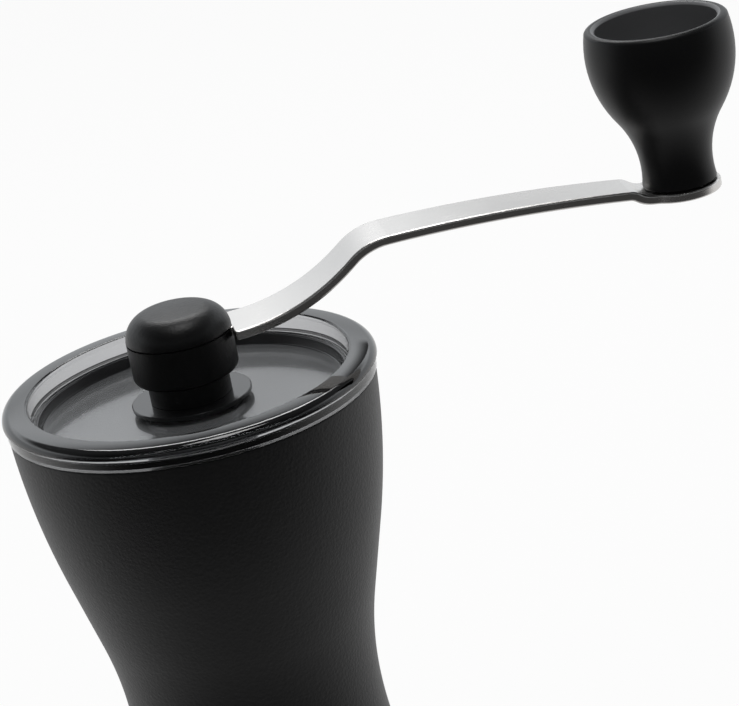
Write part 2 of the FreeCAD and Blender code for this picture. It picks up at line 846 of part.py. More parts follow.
def lid():
    """Round lid: a plug in the body's mouth, a band and a lip outside, a stepped recess and a boss below it."""
    crown = d.lip_height + d.lid_crown
    lip_round = d.lid_crown
    inner_round = d.lid_inner_round
    plug_round = d.lid_plug_round
    ledge_round = d.lid_ledge_round
    wall_foot = d.lid_ring_inner - d.lid_wall_draft
    lip_low = d.lip_height - d.lid_lip_depth
    step = d.lip_radius - d.lid_band_radius
    finished(revolved("lid_turned", [
        (d.lid_bore, d.lid_plug_low),
        (d.lid_boss_radius, d.lid_plug_low),
        (d.lid_boss_radius, d.lid_floor_low),
        (d.lid_skirt_radius, d.lid_floor_low),
        (d.lid_skirt_radius, d.lid_plug_low),
        (d.lid_spigot_radius - plug_round, d.lid_plug_low),
        (d.lid_spigot_radius, d.lid_plug_low + plug_round, plug_round),
        (d.lid_spigot_radius, d.lid_band_low),
        (d.lid_band_radius, d.lid_band_low),
        (d.lid_band_radius, lip_low - step),
        (d.lip_radius, lip_low),
        (d.lip_radius, d.lip_height),
        (d.lip_radius - lip_round, crown, lip_round),
        (d.lid_ring_inner + inner_round, crown),
        (d.lid_ring_inner, crown - inner_round, inner_round),
        (wall_foot, d.lid_ledge_height + ledge_round),
        (wall_foot - ledge_round, d.lid_ledge_height, -ledge_round),
        (d.lid_ledge_radius + ledge_round, d.lid_ledge_height),
        (d.lid_ledge_radius, d.lid_ledge_height - ledge_round, ledge_round),
        (d.lid_ledge_radius, d.lid_floor_top + ledge_round),
        (d.lid_ledge_radius - ledge_round, d.lid_floor_top, -ledge_round),
        (d.lid_bore, d.lid_floor_top),
    ]), "lid")


def lid_bush():
    """Bush with a flange above the lid's floor, a shoulder on it, a groove for its clip and a hexagon bore."""
    edge = d.bush_edge
    gap = d.seat_gap
    blank = revolved("lid_bush_blank", [
        (0, d.bush_low),
        (d.bush_radius, d.bush_low),
        (d.bush_radius, d.bush_clip_low - gap),
        (d.bush_groove, d.bush_clip_low - gap),
        (d.bush_groove, d.bush_clip_high + gap),
        (d.bush_radius, d.bush_clip_high + gap),
        (d.bush_radius, d.bush_shoulder_low),
        (d.bush_shoulder_radius, d.bush_shoulder_low),
        (d.bush_shoulder_radius, d.bush_flange_low),
        (d.bush_flange_radius - edge, d.bush_flange_low),
        (d.bush_flange_radius, d.bush_flange_low + edge),
        (d.bush_flange_radius, d.bush_flange_top - edge),
        (d.bush_flange_radius - edge, d.bush_flange_top),
        (0, d.bush_flange_top),
    ])
    socket = hexagon("lid_bush_socket", d.shaft_hex + d.hex_clearance, d.bush_low - PAST,
                     d.bush_flange_top + PAST)
    finished(cut("lid_bush_cut", blank, [socket]), "lid_bush")
    clip = open_clip("lid_clip", d.bush_clip_radius, d.bush_groove + gap, d.bush_clip_low, d.bush_clip_high,
                     d.bush_clip_slot)
    finished(clip, "bush_clip")


def hub_socket():
    """Lower half of the crank hub: neck, shoulder and drum, with a hexagon socket and a slot for the arm."""
    corner = d.hub_corner
    blank = revolved("hub_blank", [
        (0, d.neck_low),
        (d.neck_radius, d.neck_low),
        (d.neck_radius, d.neck_high),
        (d.hub_radius - d.hub_corner_inset, d.hub_shoulder - corner),
        (d.hub_radius, d.hub_shoulder, corner),
        (d.hub_radius, d.hub_seam),
        (0, d.hub_seam),
    ])
    socket = hexagon("hub_hex", d.shaft_hex + d.hex_clearance, d.neck_low - PAST, d.socket_top)
    arm_low = d.hub_seam - d.arm_thickness
    gap = d.snug_gap
    end = cylinder("hub_slot_end", d.arm_root_half + gap, arm_low, d.hub_seam + PAST)
    slot = bar("hub_slot", as_size(0), d.hub_radius + PAST, (d.arm_neck_half + gap) * 2, arm_low,
               d.hub_seam + PAST)
    peg = cylinder("hub_peg_hole", d.cap_peg_radius, d.cap_peg_low, d.hub_seam)
    pilots = [
        cylinder(f"hub_pilot{side}", d.hub_screw_shank, d.hub_screw_low, d.hub_seam, 0,
                 d.hub_screw_offset * side)
        for side in (-1, 1)
    ]
    finished(cut("hub_cut", blank, [socket, end, slot, peg, *pilots]), "hub_socket")


def hub_cap():
    """Domed cap, hollow over the screw heads, with a peg pressed into the hub."""
    low = d.hub_seam + d.cap_seam_gap
    top = low + d.cap_round
    flat = d.hub_radius - d.cap_round
    inner = d.hub_radius - d.cap_wall
    ceiling = top - d.cap_wall
    crown_bend = flat * flat / (d.cap_crown * 2) + d.cap_crown / 2
    finished(revolved("cap", [
        (0, d.cap_peg_low),
        (d.cap_peg_radius, d.cap_peg_low),
        (d.cap_peg_radius, ceiling),
        (inner - d.cap_inner_bevel, ceiling),
        (inner, ceiling - d.cap_inner_bevel),
        (inner, low),
        (d.hub_radius, low),
        (flat, top, d.cap_round),
        (0, top + d.cap_crown, crown_bend),
    ]), "hub_cap")


def hub_screws():
    screws = [
        screw(f"hub_screw{side}", as_size(0), d.hub_screw_offset * side, d.hub_screw_shank, d.hub_screw_low,
              d.hub_screw_head, d.hub_seam, d.hub_seam + d.hub_screw_head_depth, True)
        for side in (-1, 1)
    ]
    finished(group("hub_screw_pair", screws), "hub_screws")


def arm_line(offset):
    """Corners of the arm's side line from hub to eye, offset below its top face."""
    rise = d.arm_rise_angle
    start = d.arm_arch_start
    end = d.arm_arch_end
    dip = d.arm_dip_angle
    x = d.arm_bend_start
    z = d.hub_seam - offset
    corners = [(x, z)]

    def curve(bend, before, after, turn):
        """Arc of the line as it turns from one slope to the next."""
        nonlocal x, z
        x = x + bend * turn * (sine(after) - sine(before))
        z = z + bend * turn * (cosine(before) - cosine(after))
        corners.append((x, z, bend * turn))

    curve(d.arm_rise_bend + offset, as_size(0), rise, 1)
    x = x + d.arm_rise_run * cosine(rise)
    z = z + d.arm_rise_run * sine(rise)
    corners.append((x, z))
    curve(d.arm_crest_bend - offset, rise, start, -1)
    curve(d.arm_arch_bend - offset, start, -end, -1)
    curve(d.arm_dip_bend - offset, -end, -dip, -1)
    curve(d.arm_level_bend + offset, -dip, as_size(0), 1)
    return corners


def reversed_line(corners):
    """The same line walked the other way, with each arc's bend moved to its new end."""
    back = []
    for index in range(len(corners) - 1, -1, -1):
        later = corners[index + 1] if index + 1 < len(corners) else ()
        back.append((corners[index][0], corners[index][1]) + ((-later[2],) if len(later) == 3 else ()))
    return back


EYE_TOP = arm_line(as_size(0))[-1][1]


def crank_arm():
    """Steel strip: bent in its side view; in its top view a round root, a neck, a taper and a round eye."""
    body = doc.addObject("PartDesign::Body", "arm")
    side = new_sketch(body, "XZ_Plane")
    far = d.crank_reach + d.eye_radius + PAST
    near = -d.arm_root_half - PAST
    low = d.arm_thickness
    outline(side, [
        (near, d.hub_seam - low),
        *arm_line(low),
        (far, EYE_TOP - low),
        (far, EYE_TOP),
        *reversed_line(arm_line(as_size(0))),
        (near, d.hub_seam),
    ])
    strip = body.newObject("PartDesign::Pad", "arm_strip")
    strip.Profile = (side, [""])
    strip.Midplane = True
    bind(strip, "Length", (d.eye_radius + PAST) * 2)

    plan = new_sketch(body, "XY_Plane")
    wide = d.eye_radius + PAST * 3
    back = near - PAST
    front = far + PAST
    outline(plan, [(back, -wide), (front, -wide), (front, wide), (back, wide)])
    rim = d.eye_radius + d.eye_fillet
    drop = d.arm_tip_half + d.eye_fillet
    fillet_x = d.crank_reach - root(rim * rim - drop * drop)
    touch_x = d.crank_reach - (d.crank_reach - fillet_x) * (d.eye_radius / rim)
    touch_y = drop * (d.eye_radius / rim)
    half = d.arm_root_half
    neck = d.arm_neck_half
    neck_x = root(half * half - neck * neck)
    side = d.arm_shoulder_half
    corner = d.arm_shoulder_round
    outline(plan, [
        (neck_x, -neck, half),
        (d.arm_shoulder, -neck),
        (d.arm_shoulder, corner - side),
        (d.arm_shoulder + corner, -side, corner),
        (fillet_x, -d.arm_tip_half),
        (touch_x, -touch_y, -d.eye_fillet),
        (d.crank_reach + d.eye_radius, 0, d.eye_radius),
        (touch_x, touch_y, d.eye_radius),
        (fillet_x, d.arm_tip_half, -d.eye_fillet),
        (d.arm_shoulder + corner, side),
        (d.arm_shoulder, side - corner, corner),
        (d.arm_shoulder, neck),
        (neck_x, neck),
        (-half, 0, half),
    ])
    trim = body.newObject("PartDesign::Pocket", "arm_trim")
    trim.Profile = (plan, [""])
    trim.Type = "ThroughAll"
    trim.Midplane = True
    body.Tip = trim
    doc.recompute()

    soft = body.newObject("PartDesign::Fillet", "arm_edges")
    soft.Base = (trim, [
        f"Edge{number}" for number, edge in enumerate(trim.Shape.Edges, 1) if on_arm_rim(edge)
    ])
    bind(soft, "Radius", d.arm_edge_round)
    body.Tip = soft

    holes = [
        cylinder("arm_peg_hole", d.cap_peg_radius, d.hub_seam - low - PAST, d.hub_seam + PAST),
        cylinder("arm_eye_hole", d.pin_tail_radius, EYE_TOP - low - PAST, EYE_TOP + PAST, d.crank_reach),
        *[cylinder(f"arm_screw_hole{side}", d.hub_screw_shank, d.hub_seam - low - PAST, d.hub_seam + PAST, 0,
                   d.hub_screw_offset * side) for side in (-1, 1)],
    ]
    finished(cut("arm_drilled", body, holes), "crank_arm")


def on_arm_rim(edge):
    """True for the long edges along the strip, not its upright ones or the lines across its faces."""
    middle = edge.valueAt((edge.FirstParameter + edge.LastParameter) / 2)
    along = edge.tangentAt((edge.FirstParameter + edge.LastParameter) / 2)
    upright = abs(along.z) > 0.95
    across = abs(along.y) > 0.99 and abs(middle.y) < 0.5 and -1 < middle.x < d.crank_reach.value
    return not upright and not across


def knob_parts():
    """Hollow cup shaped knob on a shouldered pin, with a washer at each end of its bore."""
    low = EYE_TOP + d.knob_lift
    neck_centre = d.knob_neck_radius + d.knob_neck_bend
    belly_centre = d.knob_belly_radius - d.knob_belly_bend
    inner_bend = d.knob_belly_bend - d.knob_wall
    rim_drop = d.knob_rim_height - d.knob_belly_height
    rim_outer = beside(belly_centre, d.knob_belly_bend, rim_drop - d.knob_rim_round, 1)
    rim_inner = beside(belly_centre, inner_bend, rim_drop - d.knob_rim_round, 1)
    rim_half = (rim_outer - rim_inner) / 2
    rim_bend = rim_half * rim_half / (d.knob_rim_round * 2) + d.knob_rim_round / 2
    rim_edge = d.knob_rim_height - d.knob_rim_round
    turn_drop = d.knob_belly_height - d.knob_turn_height
    floor_rise = d.knob_floor + d.knob_floor_rise
    edge = d.knob_foot_round
    foot = beside(neck_centre, d.knob_neck_bend, d.knob_neck_height - edge, -1)
    seat = d.eye_washer_depth - d.knob_lift + d.seat_gap
    recess = d.eye_washer_radius + d.eye_washer_gap
    knob = revolved("knob", [
        (d.knob_bore, seat),
        (recess, seat),
        (recess, 0),
        (foot - edge, 0),
        (foot, edge, edge),
        (beside(belly_centre, d.knob_belly_bend, turn_drop, 1), d.knob_turn_height, -d.knob_neck_bend),
        (rim_outer, rim_edge, d.knob_belly_bend),
        (rim_inner, rim_edge, rim_bend),
        (beside(belly_centre, inner_bend, d.knob_belly_height - floor_rise, 1), floor_rise, -inner_bend),
        (d.knob_floor_radius, d.knob_floor, -d.knob_floor_bend),
        (d.knob_bore, d.knob_floor),
    ])
    finished(place(knob, d.crank_reach, 0, low), "crank_knob")

    washer_low = low + d.knob_floor + d.seat_gap
    head_low = washer_low + d.pin_washer_depth
    tail_low = EYE_TOP - d.arm_thickness
    round_off = d.pin_round
    pin = revolved("pin", [
        (0, tail_low - d.pin_tail_head_depth),
        (d.pin_tail_head - round_off, tail_low - d.pin_tail_head_depth),
        (d.pin_tail_head, tail_low - d.pin_tail_head_depth + round_off, round_off),
        (d.pin_tail_head, tail_low),
        (d.pin_tail_radius, tail_low),
        (d.pin_tail_radius, EYE_TOP),
        (d.pin_radius, EYE_TOP),
        (d.pin_radius, head_low),
        (d.pin_head, head_low),
        (d.pin_head, head_low + d.pin_head_depth - round_off),
        (d.pin_head - round_off, head_low + d.pin_head_depth, round_off),
        (0, head_low + d.pin_head_depth),
    ])
    finished(place(pin, d.crank_reach), "knob_pin")

    lower = washer("eye_ring", d.eye_washer_radius, d.pin_radius + d.snug_gap, as_size(0), d.eye_washer_depth)
    finished(place(lower, d.crank_reach, 0, EYE_TOP), "eye_washer")
    upper = washer("pin_ring", d.pin_washer_radius, d.pin_radius + d.snug_gap, as_size(0), d.pin_washer_depth)
    finished(place(upper, d.crank_reach, 0, washer_low), "pin_washer")


base_pad()
grounds_container()
upper_body()
container_seal()
burr_housing()
shaft_bush()
outer_burr()
burr_retainer()
housing_screws()
drive_shaft()
shaft_fittings()
burr_spring()
inner_burr()
burr_carrier()
adjuster()
lid()
lid_bush()
hub_socket()
hub_cap()
hub_screws()
crank_arm()
knob_parts()
doc.recompute()

failed = [item.Label for item in doc.Objects if "Invalid" in item.State or "Error" in item.State]
failed += [item.Label for item in nodes if item.Shape.isNull() or not item.Shape.isValid()]
if failed:
    raise RuntimeError(f"not built: {failed}")

os.makedirs("parts", exist_ok=True)
for item in nodes:
    item.Shape.exportStep(f"parts/{item.Label}.step")
    box = item.Shape.BoundBox
    print(f"{item.Label}: {len(item.Shape.Solids)} solid, {item.Shape.Volume:.1f} mm3, "
          f"z {box.ZMin:.2f} to {box.ZMax:.2f}, x {box.XMin:.2f} to {box.XMax:.2f}")
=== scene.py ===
import json
import math

import bpy
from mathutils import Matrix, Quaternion, Vector


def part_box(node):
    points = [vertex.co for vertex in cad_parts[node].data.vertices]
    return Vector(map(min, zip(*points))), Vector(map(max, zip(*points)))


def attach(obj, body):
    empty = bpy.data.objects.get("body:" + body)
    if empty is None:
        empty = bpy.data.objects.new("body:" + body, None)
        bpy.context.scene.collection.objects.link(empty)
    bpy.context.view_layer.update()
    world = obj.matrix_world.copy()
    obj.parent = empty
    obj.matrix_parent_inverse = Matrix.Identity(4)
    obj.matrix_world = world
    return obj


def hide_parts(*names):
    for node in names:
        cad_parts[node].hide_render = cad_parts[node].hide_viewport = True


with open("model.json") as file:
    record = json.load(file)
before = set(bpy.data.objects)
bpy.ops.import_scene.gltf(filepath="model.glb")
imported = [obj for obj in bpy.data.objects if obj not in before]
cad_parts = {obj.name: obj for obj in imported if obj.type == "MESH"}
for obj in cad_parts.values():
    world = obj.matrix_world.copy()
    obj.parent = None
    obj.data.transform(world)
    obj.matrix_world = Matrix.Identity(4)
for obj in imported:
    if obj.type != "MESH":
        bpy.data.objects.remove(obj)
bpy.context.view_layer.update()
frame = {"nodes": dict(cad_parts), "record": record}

MM = 0.001


class Wire:
    """One output of a node. Arithmetic on wires adds Math nodes."""

    def __init__(self, web, socket):
        self.web = web
        self.socket = socket

    def math(self, operation, *values):
        return self.web.node("ShaderNodeMath", {"operation": operation}, dict(enumerate(values)))

    def __add__(self, other):
        return self.math("ADD", self, other)

    def __radd__(self, other):
        return self.math("ADD", other, self)

    def __sub__(self, other):
        return self.math("SUBTRACT", self, other)

    def __rsub__(self, other):
        return self.math("SUBTRACT", other, self)

    def __mul__(self, other):
        return self.math("MULTIPLY", self, other)

    def __rmul__(self, other):
        return self.math("MULTIPLY", other, self)

    def __truediv__(self, other):
        return self.math("DIVIDE", self, other)

    def __rtruediv__(self, other):
        return self.math("DIVIDE", other, self)

    def __pow__(self, other):
        return self.math("POWER", self, other)

    def __gt__(self, other):
        return self.math("GREATER_THAN", self, other)

    def __lt__(self, other):
        return self.math("LESS_THAN", self, other)

    def clamped(self):
        return self.math("MINIMUM", self.math("MAXIMUM", self, 0.0), 1.0)


class Web:
    """A node tree, with one way to add any node."""

    def __init__(self, tree):
        self.tree = tree
        tree.nodes.clear()

    def node(self, kind, settings=None, sockets=None, output=0):
        made = self.tree.nodes.new(kind)
        for name, value in (settings or {}).items():
            setattr(made, name, value)
        for name, value in (sockets or {}).items():
            if isinstance(value, Wire):
                self.tree.links.new(value.socket, made.inputs[name])
            else:
                made.inputs[name].default_value = value
        return Wire(self, made.outputs[output]) if made.outputs else made

    def eased(self, wire, low, high, first, last):
        """Smooth change from a first value to a last one while a wire goes from low to high."""
        return self.node("ShaderNodeMapRange", {"interpolation_type": "SMOOTHSTEP"}, {
            0: wire, 1: low, 2: high, 3: first, 4: last})

    def other(self, wire, output):
        """Another output of the node that a wire comes from."""
        return Wire(self, wire.socket.node.outputs[output])


class Finish(Web):
    """The material of one finish."""

    def __init__(self, name):
        self.material = bpy.data.materials.new(name)
        self.material.use_nodes = True
        super().__init__(self.material.node_tree)
        self.place = self.node("ShaderNodeTexCoord", output="Object")

    def stretched(self, x, y, z):
        """Object coordinates, drawn out along an axis by a small number."""
        return self.node("ShaderNodeMapping", {}, {"Vector": self.place, "Scale": (x, y, z)})

    def noise(self, size_mm, detail=2.0, roughness=0.5, place=None):
        """Soft noise from 0 to 1 with features of about the given size."""
        return self.node("ShaderNodeTexNoise", {"noise_dimensions": "3D"}, {
            "Vector": place or self.place, "Scale": 1 / (size_mm * MM), "Detail": detail,
            "Roughness": roughness})

    def cells(self, size_mm):
        """Distance to the nearest of scattered points, from 0 to about 1."""
        return self.node("ShaderNodeTexVoronoi", {"feature": "F1"}, {
            "Vector": self.place, "Scale": 1 / (size_mm * MM)})

    def shade(self, factor, dark, light):
        """Colour between two colours, each a colour or a wire."""
        dark, light = (tone if isinstance(tone, Wire) else (*tone, 1) for tone in (dark, light))
        return self.node("ShaderNodeMix", {"data_type": "RGBA"}, {0: factor, 6: dark, 7: light}, output=2)

    def axes(self):
        """Object coordinates one by one, in millimetres."""
        first = self.node("ShaderNodeSeparateXYZ", {}, {0: self.place})
        return [self.other(first, name) / MM for name in "XYZ"]

    def relief(self, height, depth_mm):
        """Normal from a height field, whose full range is the given depth."""
        return self.node("ShaderNodeBump", {}, {
            "Height": height, "Distance": depth_mm * MM, "Strength": 1.0})

    def surface(self, **sockets):
        """Ends the tree with one principled shader, whose sockets are named with underscores."""
        named = {name.replace("_", " "): value for name, value in sockets.items()}
        shader = self.node("ShaderNodeBsdfPrincipled", {}, named)
        self.node("ShaderNodeOutputMaterial", {}, {"Surface": shader})
        return self.material


# Black plastic: tone of the painted light in a hollow, size of its pits against its grain, size of its cloud
# in mm
HOLLOW_PAINTED_LIGHT = (0.170, 0.173, 0.178)
PIT_SPREAD = 1.7
BLACK_CLOUD = 18.0


def grained_black(name, colour, light, grain_mm, depth_mm, rough, spread, shine, hollow=None):
    """Moulded black plastic: fine spark grain, a faint cloud in its gloss, and painted light, a paler tone,
    in its hollow.
    """
    finish = Finish(name)
    grain = finish.noise(grain_mm, detail=3.0, roughness=0.6)
    pits = finish.cells(grain_mm * PIT_SPREAD)
    cloud = finish.noise(BLACK_CLOUD, detail=2.0)
    height = grain * 0.6 + pits * 0.4
    tone = finish.shade((height * 0.8 + cloud * 0.4 - 0.2).clamped(), colour, light)
    # painted light: a paler tone inside the knob's cup stands for light falling into it
    if hollow:
        tone = finish.shade(hollow(finish) * (0.75 + 0.25 * cloud), tone, HOLLOW_PAINTED_LIGHT)
    return finish.surface(
        Base_Color=tone,
        Roughness=rough + spread * (grain - 0.5) + 0.06 * (cloud - 0.5),
        Specular_IOR_Level=shine,
        Normal=finish.relief(height, depth_mm))


# Knob in mm: its axis from the shaft's, the height of its foot, its belly, the floor of its cup, its hollow
KNOB_REACH = 99.7
KNOB_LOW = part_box("crank_knob")[0].z / MM
KNOB_BELLY = 14.2
KNOB_BELLY_BEND = 21.825
KNOB_BELLY_HEIGHT = 26.4
KNOB_FLOOR = 14.6
HOLLOW_DEPTH = 1.2
HOLLOW_EDGE = 0.2
HOLLOW_FLOOR_SHARE = 0.2


def knob_hollow_light_mask(finish):
    """Mask of painted light: one high inside the knob's cup, less towards its floor, nought on its outside.
    """
    x, y, z = finish.axes()
    aside = x - KNOB_REACH
    above = z - (KNOB_LOW + KNOB_BELLY_HEIGHT)
    reach = (aside * aside + y * y) ** 0.5
    skin = (KNOB_BELLY_BEND ** 2 - above * above) ** 0.5 + (KNOB_BELLY - KNOB_BELLY_BEND)
    inside = (skin - reach > HOLLOW_DEPTH) * (z > KNOB_LOW + KNOB_FLOOR - HOLLOW_EDGE)
    return inside * finish.eased(above, KNOB_FLOOR - KNOB_BELLY_HEIGHT, 0.0, HOLLOW_FLOOR_SHARE, 1.0)


# Lid in mm: where its recess, bead, seat and rim lie, and how near its skin a flat face is
RECESS_RADIUS = 28.9
RECESS_FLOOR = 165.1
BEAD_RADIUS = 30.05
BEAD_HEIGHT = 167.5
SEAT_RADIUS = 33.2
SEAT_HEIGHT = 166.6
RIM_RADIUS = 31.0
RIM_HEIGHT = 169.3
SKIN = 0.05
# painted shade: a dark tone for the top of the lid's ring
RIM_PAINTED_SHADE = (0.02, 0.021, 0.022)
SMOKE = (0.30, 0.31, 0.32, 1)
SMOKE_DENSITY = 150.0
PLASTIC_IOR = 1.57


def smoky_clear(name):
    """Smoke grey plastic that light passes through, with hairline scuffs. On the lid it has painted shade: a
    darker tone on the top of its rim, a dark seat under the lip and a dark bead round the recess; its recess
    floor is pale satin."""
    finish = Finish(name)
    scuff = finish.noise(0.9, detail=4.0, roughness=0.7)
    cloud = finish.noise(14.0)
    x, y, z = finish.axes()
    reach = (x * x + y * y) ** 0.5
    satin = (reach < RECESS_RADIUS) * (z > RECESS_FLOOR - SKIN) * (z < RECESS_FLOOR + SKIN)
    # painted shade: the bead round the recess is painted near black for the dark band low in the recess wall
    bead = (reach > RECESS_RADIUS) * (reach < BEAD_RADIUS) * (z > RECESS_FLOOR) * (z < BEAD_HEIGHT)
    # painted shade: the top of the ring, above the rim height, is darkened in its colour
    rim = (reach > RIM_RADIUS) * (z > RIM_HEIGHT)
    # painted shade: the seat under the lip is painted near black so that the band below the lip looks dark
    seat = (reach > SEAT_RADIUS) * (z > SEAT_HEIGHT - SKIN) * (z < SEAT_HEIGHT + SKIN)
    smoke = finish.node("ShaderNodeVolumeAbsorption", {}, {"Color": SMOKE, "Density": SMOKE_DENSITY})
    tone = finish.shade(cloud, (0.86, 0.86, 0.87), (0.93, 0.93, 0.94))
    clear = finish.node("ShaderNodeBsdfPrincipled", {}, {
        "Base Color": finish.shade(rim, tone, RIM_PAINTED_SHADE),
        "Roughness": 0.02 + 0.03 * scuff + 0.08 * satin,
        "IOR": PLASTIC_IOR,
        "Transmission Weight": 1.0,
        "Normal": finish.relief(finish.noise(6.0), 0.0005)})
    # near-black painted shade on the bead and seat; a pale satin tone on the recess floor
    haze_and_painted_shade = finish.node("ShaderNodeBsdfPrincipled", {}, {
        "Base Color": finish.shade(satin, (0.012, 0.012, 0.013), (0.58, 0.60, 0.62)),
        "Roughness": 0.12 + 0.5 * satin})
    hazed_and_painted_shade = finish.node("ShaderNodeMixShader", {}, {
        0: bead + seat + satin * (0.13 + 0.04 * cloud), 1: clear, 2: haze_and_painted_shade})
    finish.node("ShaderNodeOutputMaterial", {}, {"Surface": hazed_and_painted_shade, "Volume": smoke})
    return finish.material


# Grinding lines are drawn out fifty times along x
LINE_DRAW = 0.02


def brushed_metal(name, dark, light, rough, spread, width_mm, depth_mm):
    """Metal with fine grinding lines along x and a slow change of tone."""
    finish = Finish(name)
    drawn = finish.stretched(LINE_DRAW, 1.0, 1.0)
    lines = finish.noise(width_mm, detail=3.0, roughness=0.65, place=drawn)
    cloud = finish.noise(9.0)
    tone = (lines * 0.7 + cloud * 0.6 - 0.15).clamped()
    return finish.surface(
        Base_Color=finish.shade(tone, dark, light),
        Metallic=1.0,
        Roughness=rough + spread * (lines - 0.5) + 0.08 * (cloud - 0.5),
        Normal=finish.relief(lines, depth_mm))


def moulded(name, dark, light, grain_mm, rough, depth_mm):
    """Plain moulded part with a faint skin."""
    finish = Finish(name)
    skin = finish.noise(grain_mm, detail=4.0)
    cloud = finish.noise(7.0)
    return finish.surface(
        Base_Color=finish.shade((skin * 0.6 + cloud * 0.4).clamped(), dark, light),
        Roughness=rough + 0.12 * (skin - 0.5),
        Normal=finish.relief(skin, depth_mm))


FINISHES = {
    "body_black": grained_black(
        "matt_body_black", (0.004, 0.004, 0.0043), (0.010, 0.010, 0.0104),
        grain_mm=0.45, depth_mm=0.08, rough=0.46, spread=0.16, shine=0.28),
    "hub_black": grained_black(
        "hub_black", (0.0015, 0.0015, 0.0017), (0.005, 0.005, 0.0053),
        grain_mm=0.42, depth_mm=0.045, rough=0.40, spread=0.12, shine=0.30),
    "knob_black": grained_black(
        "knob_satin_black", (0.003, 0.003, 0.0033), (0.008, 0.008, 0.0084),
        grain_mm=0.20, depth_mm=0.012, rough=0.38, spread=0.08, shine=0.19, hollow=knob_hollow_light_mask),
    "bush_black": grained_black(
        "bush_polished_black", (0.004, 0.004, 0.0045), (0.009, 0.009, 0.0095),
        grain_mm=0.6, depth_mm=0.004, rough=0.14, spread=0.05, shine=0.44),
    "housing_black": moulded(
        "housing_black", (0.016, 0.016, 0.017), (0.034, 0.034, 0.036),
        grain_mm=0.5, rough=0.5, depth_mm=0.02),
    "carrier_grey": moulded(
        "carrier_grey", (0.09, 0.09, 0.095), (0.15, 0.15, 0.155),
        grain_mm=0.5, rough=0.5, depth_mm=0.02),
    "bearing_nylon": moulded(
        "bearing_nylon", (0.72, 0.71, 0.66), (0.83, 0.82, 0.77),
        grain_mm=0.4, rough=0.42, depth_mm=0.01),
    "ceramic": moulded(
        "burr_ceramic", (0.80, 0.79, 0.75), (0.92, 0.91, 0.88),
        grain_mm=0.25, rough=0.55, depth_mm=0.015),
    "pad_rubber": moulded(
        "pad_rubber", (0.028, 0.028, 0.029), (0.05, 0.05, 0.052),
        grain_mm=0.35, rough=0.75, depth_mm=0.02),
    "seal_rubber": moulded(
        "seal_rubber", (0.04, 0.04, 0.041), (0.075, 0.075, 0.077),
        grain_mm=0.35, rough=0.6, depth_mm=0.01),
    "smoky_plastic": smoky_clear("smoky_plastic"),
    "arm_steel": brushed_metal(
        "arm_satin_steel", (0.578, 0.562, 0.545), (0.662, 0.643, 0.624),
        rough=0.26, spread=0.06, width_mm=0.25, depth_mm=0.0012),
    "shaft_steel": brushed_metal(
        "shaft_ground_steel", (0.50, 0.50, 0.50), (0.66, 0.66, 0.66),
        rough=0.24, spread=0.12, width_mm=0.2, depth_mm=0.004),
    "fastener_steel": brushed_metal(
        "fastener_steel", (0.46, 0.46, 0.46), (0.62, 0.62, 0.62),
        rough=0.3, spread=0.1, width_mm=0.2, depth_mm=0.004),
    "spring_steel": brushed_metal(
        "spring_wire", (0.38, 0.38, 0.39), (0.55, 0.55, 0.56),
        rough=0.26, spread=0.1, width_mm=0.2, depth_mm=0.004),
    "nut_brass": brushed_metal(
        "nut_brass", (0.62, 0.46, 0.20), (0.80, 0.63, 0.32),
        rough=0.25, spread=0.1, width_mm=0.3, depth_mm=0.004),
}

for part in frame["record"]["subparts"]:
    node = frame["nodes"][part["node"]]
    node.data.materials.clear()
    node.data.materials.append(FINISHES[part["material_slot"]])


# Largest turn of one step of an arc, and its largest length in mm
ARC_TURN = math.radians(4.0)
ARC_RUN = 1.6


class Profile:
    """Half section of a turned piece in millimetres, walked anticlockwise: runs, arcs, softened corners."""

    def __init__(self, radius, height, soft=0.0):
        self.points = [(radius, height, soft)]

    def run(self, radius, height, soft=0.0):
        self.points.append((radius, height, soft))
        return self

    def arc(self, radius, height, bend, soft=0.0):
        """Arc to a point: a positive bend turns left on the way, a negative one right."""
        first = Vector(self.points[-1][:2])
        last = Vector((radius, height))
        chord = last - first
        left = Vector((-chord.y, chord.x)).normalized()
        reach = math.sqrt(max(bend * bend - chord.length_squared / 4, 0.0))
        centre = (first + last) / 2 + left * math.copysign(reach, bend)
        spoke = first - centre
        turn = 2 * math.asin(min(chord.length / 2 / abs(bend), 1.0))
        steps = max(2, math.ceil(turn / ARC_TURN), math.ceil(turn * abs(bend) / ARC_RUN))
        for step in range(1, steps):
            angle = math.copysign(turn * step / steps, bend)
            turned = Vector((
                spoke.x * math.cos(angle) - spoke.y * math.sin(angle),
                spoke.x * math.sin(angle) + spoke.y * math.cos(angle)))
            self.points.append((centre.x + turned.x, centre.y + turned.y, 0.0))
        return self.run(radius, height, soft)

    def closed(self):
        """True unless both ends lie on the axis."""
        return self.points[0][0] > 0 or self.points[-1][0] > 0


def geometry_web(name, **inputs):
    """Geometry Nodes tree that takes and gives geometry, and its named inputs as wires."""
    tree = bpy.data.node_groups.new(name, "GeometryNodeTree")
    web = Web(tree)
    tree.interface.new_socket("Geometry", in_out="INPUT", socket_type="NodeSocketGeometry")
    tree.interface.new_socket("Geometry", in_out="OUTPUT", socket_type="NodeSocketGeometry")
    for label, kind in inputs.items():
        tree.interface.new_socket(label, in_out="INPUT", socket_type=kind)
    first = web.node("NodeGroupInput")
    return web, first, {label: web.other(first, label) for label in inputs}


# Turning, in metres: radius of the ring that carries a section, steps in a softened corner, width of the seam
SPINE = 0.05
CORNER_STEPS = 4
SEAM_MERGE = 2e-6
SHARP_ANGLE = math.radians(35.0)


